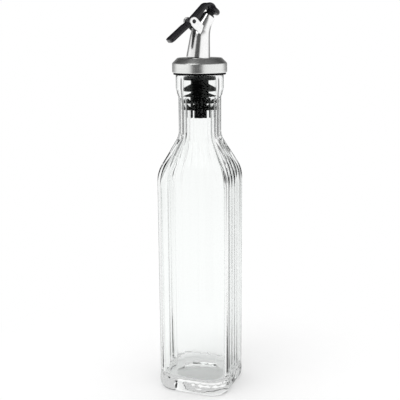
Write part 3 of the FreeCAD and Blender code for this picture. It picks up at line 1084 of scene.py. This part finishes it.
@dataclass
class Lid:
    """Flip lid: grooved thumb tab, arm and crook, pin, cap and seal, in millimetres."""

    thickness: float = 2.8
    tab_under: float = 1.1
    arm_under: float = 1.85
    tab_slope: float = 39.5
    tab_length: float = 20.0
    tab_half: float = 5.0
    tab_start: float = 4.4
    tip_r: float = 2.5
    arm_slope: float = 45.0
    arm_length: float = 13.6
    arm_half: float = 4.0
    arm_swell: float = 3.0
    arm_thins: Pair = (7.0, 2.0)
    groove: float = 0.7
    groove_ends: Pair = (7.0, 4.0)
    rim: float = 1.1
    chamfer: float = 0.35
    hub_r: float = 2.2
    pin_r: float = 1.2
    pin_reach: float = 5.3
    cap_gap: float = 3.4
    cap_t: float = 2.6
    cap_r: float = 5.8
    cap_crown: float = 1.0
    boss_r: float = 3.3
    boss_t: float = 0.8
    landing_sink: float = 0.9
    seal_flange_r: float = 3.7
    seal_flange_t: float = 0.9
    seal_lift: float = 0.15
    seal_waist_r: float = 2.7
    seal_depth: float = 1.5
    seal_nose_r: float = 0.9
    seal_r: float = 3.05

    def centre_line(self, spout: Spout) -> tuple[Array, Array]:
        """Middle of the strip from the tab's tip over the pin to the cap.

        Args:
            spout: gives the lip that the cap closes.

        Returns:
            The points and the unit tangents, in the pourer's upright plane.
        """
        tab = math.radians(self.tab_slope)
        arm = math.radians(self.arm_slope)
        pivot = DATUM.pivot
        tip = pivot - np.array((math.cos(tab), 0.0, math.sin(tab))) * self.tab_length
        along = np.array((math.cos(arm), 0.0, math.sin(arm)))
        arm_end = pivot + along * self.arm_length
        seat = spout.lip() + spout.beak_direction() * (self.cap_gap + self.cap_t - self.landing_sink)
        inward = np.array((along[2], 0.0, -along[0]))
        chord = seat - arm_end
        radius = chord @ chord / (2 * inward @ chord)
        centre = arm_end + inward * radius
        sweep = 2 * math.asin(np.linalg.norm(chord) / (2 * radius))
        bend = [centre + radius * (along * math.sin(t) - inward * math.cos(t))
                for t in np.linspace(0, sweep, 17)]
        tab_points = [tip + (pivot - tip) * share for share in tip_shares(self.tip_r / self.tab_length)]
        arm_points = [pivot + (arm_end - pivot) * share for share in np.linspace(0.06, 0.98, 12)]
        return with_tangents(np.array(tab_points + arm_points + bend))

    def strip(self, spout: Spout) -> Mesh:
        """Tab, arm and crook as one strip with a groove along its top."""
        points, tangents = self.centre_line(spout)
        lengths = distances(points)
        half_t = self.thickness / 2
        edge = self.chamfer
        narrow_at = self.tab_length - self.tab_start
        crook_at = self.tab_length + self.arm_length
        narrow_by = self.tab_half - self.arm_half
        rows = []
        for point, tangent, at in zip(points, tangents, lengths):
            up = np.array((-tangent[2], 0.0, tangent[0]))
            narrowing = min(max((at - narrow_at + narrow_by) / narrow_by, 0.0), 1.0)
            half = self.tab_half - narrow_by * narrowing
            if at < self.tip_r:
                half -= self.tip_r - math.sqrt(max(self.tip_r ** 2 - (self.tip_r - at) ** 2, 0.0))
            depth = self.groove * smooth(at, self.rim * 0.7, self.rim * 1.5)
            depth *= 1 - smooth(at, lengths[-1] - self.groove_ends[0], lengths[-1] - self.groove_ends[1])
            lip_half = half - self.rim
            arm = smooth(at, self.tab_length, self.tab_length + self.arm_swell)
            arm *= 1 - smooth(at, crook_at - self.arm_thins[0], crook_at - self.arm_thins[1])
            under = -self.tab_under - (self.arm_under - self.tab_under) * arm
            section = [
                (half, edge + under), (half, half_t - edge), (half - edge, half_t), (lip_half, half_t),
                (lip_half - 0.35, half_t - depth), (0.35 - lip_half, half_t - depth), (-lip_half, half_t),
                (edge - half, half_t), (-half, half_t - edge), (-half, edge + under), (edge - half, under),
                (half - edge, under),
            ]
            rows.append([point + up * high + SIDEWAYS * across for across, high in section])
        rows_array = np.array(rows)
        ends = (rows_array[0].mean(axis=0), rows_array[-1].mean(axis=0))
        placed = to_row_frame(rows_array)
        return skin("strip", placed, (to_row_frame(ends[0]), to_row_frame(ends[1])))

    def pin(self) -> Mesh:
        """Hub between the ears with the pin's two ends."""
        inner = self.arm_half
        outline = softened([
            (0.0, -self.pin_reach), (self.pin_r, -self.pin_reach), (self.pin_r, -inner), (self.hub_r, -inner),
            (self.hub_r, inner), (self.pin_r, inner), (self.pin_r, self.pin_reach), (0.0, self.pin_reach),
        ], 0.2, 3)
        angles = angles_around(64)
        circle = np.stack((np.cos(angles), np.zeros(64), np.sin(angles)), axis=1)
        rows = np.array([DATUM.pivot + SIDEWAYS * across + circle * max(radius, 1e-4)
                         for radius, across in outline])
        return skin("pin", to_row_frame(rows))

    def cap(self, spout: Spout) -> Mesh:
        """Round cap over the lip."""
        low = self.cap_gap
        high = self.cap_gap + self.cap_t
        outline = softened([
            (0.0, low - self.boss_t), (self.boss_r, low - self.boss_t), (self.boss_r + 0.4, low - 0.1),
            (self.cap_r - 0.5, low), (self.cap_r, low + self.cap_t / 2), (self.cap_r - 0.6, high),
            (self.cap_r / 2, high + self.cap_crown * 0.8), (0.0, high + self.cap_crown),
        ], 0.6, 5)
        return turned("cap", outline, spout.lip(), spout.beak_direction(), 96)

    def seal(self, spout: Spout) -> Mesh:
        """Soft seal with its flange over the lip and its nose in the channel."""
        top = self.seal_lift + self.seal_flange_t
        outline = softened([
            (0.0, -self.seal_depth), (self.seal_nose_r, -self.seal_depth), (self.seal_r, 0.0),
            (self.seal_r, self.seal_lift), (self.seal_flange_r, self.seal_lift), (self.seal_flange_r, top),
            (self.seal_waist_r, top), (self.seal_waist_r, self.cap_gap - self.boss_t),
            (0.0, self.cap_gap - self.boss_t),
        ], 0.2, 3)
        return turned("seal", outline, spout.lip(), spout.beak_direction(), 96)

    def build(self, spout: Spout) -> None:
        """Make the lid's four pieces."""
        finished(self.strip(spout), "flip_lever", LID_PLASTIC, Body.LID, ["lever"])
        finished(self.pin(), "lever_pin", LID_PLASTIC, Body.LID)
        finished(self.cap(spout), "lid_cap", LID_PLASTIC, Body.LID)
        finished(self.seal(spout), "lid_seal", SEAL_RUBBER, Body.LID, ["seal"])


def tip_shares(round_share: float) -> list[float]:
    """Shares of the tab's length, close together over its rounded tip."""
    tip = [round_share * (1 - math.cos(math.pi / 2 * step / 8)) for step in range(9)]
    return tip + list(np.linspace(round_share, 0.97, 22)[1:])


# ---- studio

@dataclass
class Studio:
    """Pale floor, white surroundings with dark flags for the edges of glass and metal, and camera."""

    azimuth: float = 20.62
    pitch: float = 12.316
    distance: float = 0.530
    height: float = 0.24824
    lens: float = 71.04
    aim_left: float = 0.039
    roll: float = -0.4
    plain: float = 1.0
    floor_r: float = 0.21
    flag: float = 0.05
    side_from: float = 0.1
    side_to: float = 0.45
    slit: float = 0.7
    room_turn: float = 12.0
    dark_room: float = 0.95
    horizon: Pair = (-0.30, -0.12)
    slit_count: float = 8.0
    slit_edge: Pair = (0.1, 0.55)
    slit_start: Pair = (0.3, 0.5)
    slit_end: Pair = (0.80, 0.88)
    half_turn: Pair = (0.3, 0.7)
    room_floor: Pair = (-0.3, -0.1)
    overhead: Pair = (0.2, 0.5)
    overhead_dark: float = 0.85
    room: Pair = (0.88, 0.95)
    room_dark: float = 0.92
    behind_floor: Pair = (-0.17, -0.08)
    behind_dark: float = 0.75
    key_power: float = 1.1
    lamp_size: float = 0.5
    lamp_left: float = 40.0
    lamp_out: float = 0.45
    lamp_height: float = 0.75
    lamp_tilt: float = 38.0

    def world(self) -> None:
        """White to the camera, with dark flags for reflections and refraction."""
        world = bpy.data.worlds.new("studio")
        bpy.context.scene.world = world
        world.use_nodes = True
        graph = Graph(world.node_tree)
        direction = graph.node("ShaderNodeTexCoord").outputs["Generated"]
        parts = graph.node("ShaderNodeSeparateXYZ", None, {0: direction})
        x, y, z = (Signal(graph, parts.outputs[index]) for index in range(3))
        turn = y.math("ARCTAN2", x)
        to_back = (turn - math.radians(self.azimuth + 90.0)).math("COSINE")
        to_room = (turn - math.radians(self.azimuth - 90.0 - self.room_turn)).math("COSINE")
        above_floor = z.ramp(*self.horizon)
        sides = (1.0 - to_back.math("ABSOLUTE").ramp(self.side_from, self.side_to)) * above_floor
        slits = (-(turn * self.slit_count).math("COSINE")).ramp(*self.slit_edge)
        slits = slits * to_back.ramp(*self.slit_start) * (1.0 - to_back.ramp(*self.slit_end))
        slits = slits * above_floor * self.slit
        room_through = (-to_back).ramp(*self.half_turn) * z.ramp(*self.room_floor) * self.dark_room
        glass = (1.0 - sides * (1.0 - self.flag)) * (1.0 - slits) * (1.0 - room_through)
        overhead = z.ramp(*self.overhead) * self.overhead_dark
        room = to_room.ramp(*self.room) * self.room_dark
        behind = to_back.ramp(*self.half_turn) * z.ramp(*self.behind_floor) * self.behind_dark
        metal = (1.0 - overhead) * (1.0 - room) * (1.0 - behind)
        rays = graph.node("ShaderNodeLightPath").outputs
        camera = Signal(graph, rays["Is Camera Ray"])
        through = Signal(graph, rays["Is Transmission Ray"])
        glossy = Signal(graph, rays["Is Glossy Ray"])
        other = glossy * metal + (1.0 - glossy) * self.plain
        level = camera + (1.0 - camera) * (through * glass + (1.0 - through) * other)
        sky = graph.node("ShaderNodeBackground", None, {"Color": WHITE, "Strength": level})
        graph.node("ShaderNodeOutputWorld", None, {"Surface": sky.outputs[0]})

    def floor(self) -> None:
        """Round pale floor under the object."""
        angles = angles_around(128)
        points = [(math.cos(t) * self.floor_r, math.sin(t) * self.floor_r, 0.0) for t in angles]
        mesh = bpy.data.meshes.new("floor")
        mesh.from_pydata(points, [], [tuple(range(len(points)))])
        mesh.materials.append(PaleFloor().material())
        floor = bpy.data.objects.new("floor", mesh)
        show(floor)

    def lamp(self) -> None:
        """One large soft lamp from above the camera's left."""
        light = bpy.data.lights.new("soft_lamp", "AREA")
        light.shape = "DISK"
        light.size = self.lamp_size
        light.energy = self.key_power
        lamp = bpy.data.objects.new("soft_lamp", light)
        turn = math.radians(self.azimuth - self.lamp_left)
        lamp.location = (self.lamp_out * math.sin(turn), -self.lamp_out * math.cos(turn), self.lamp_height)
        lamp.rotation_euler = (math.radians(self.lamp_tilt), 0.0, turn)
        show(lamp)

    def camera(self) -> None:
        """Camera slightly above the lid, looking down at the bottle."""
        turn = math.radians(self.azimuth)
        data = bpy.data.cameras.new("camera")
        data.sensor_width = 36.0
        data.lens = self.lens
        data.clip_start = 0.01
        camera = bpy.data.objects.new("camera", data)
        camera.location = (self.distance * math.sin(turn), -self.distance * math.cos(turn), self.height)
        tilt = math.radians(90.0 - self.pitch)
        roll = math.radians(self.roll)
        turned_by = turn + math.radians(self.aim_left) + roll * math.cos(tilt)
        camera.rotation_euler = (tilt, -roll * math.sin(tilt), turned_by)
        show(camera)
        bpy.context.scene.camera = camera

    def build(self) -> None:
        """Set up the studio."""
        bpy.context.scene.view_settings.view_transform = "Standard"
        self.world()
        self.floor()
        self.lamp()
        self.camera()


def main() -> None:
    """Build the cruet and its studio."""
    logging.basicConfig(level=logging.INFO, format="%(message)s")
    Bottle().build()
    Stopper().build()
    Collar().build()
    spout = Spout()
    spout.build()
    Lid().build(spout)
    Studio().build()


if __name__ == "__main__":
    main()
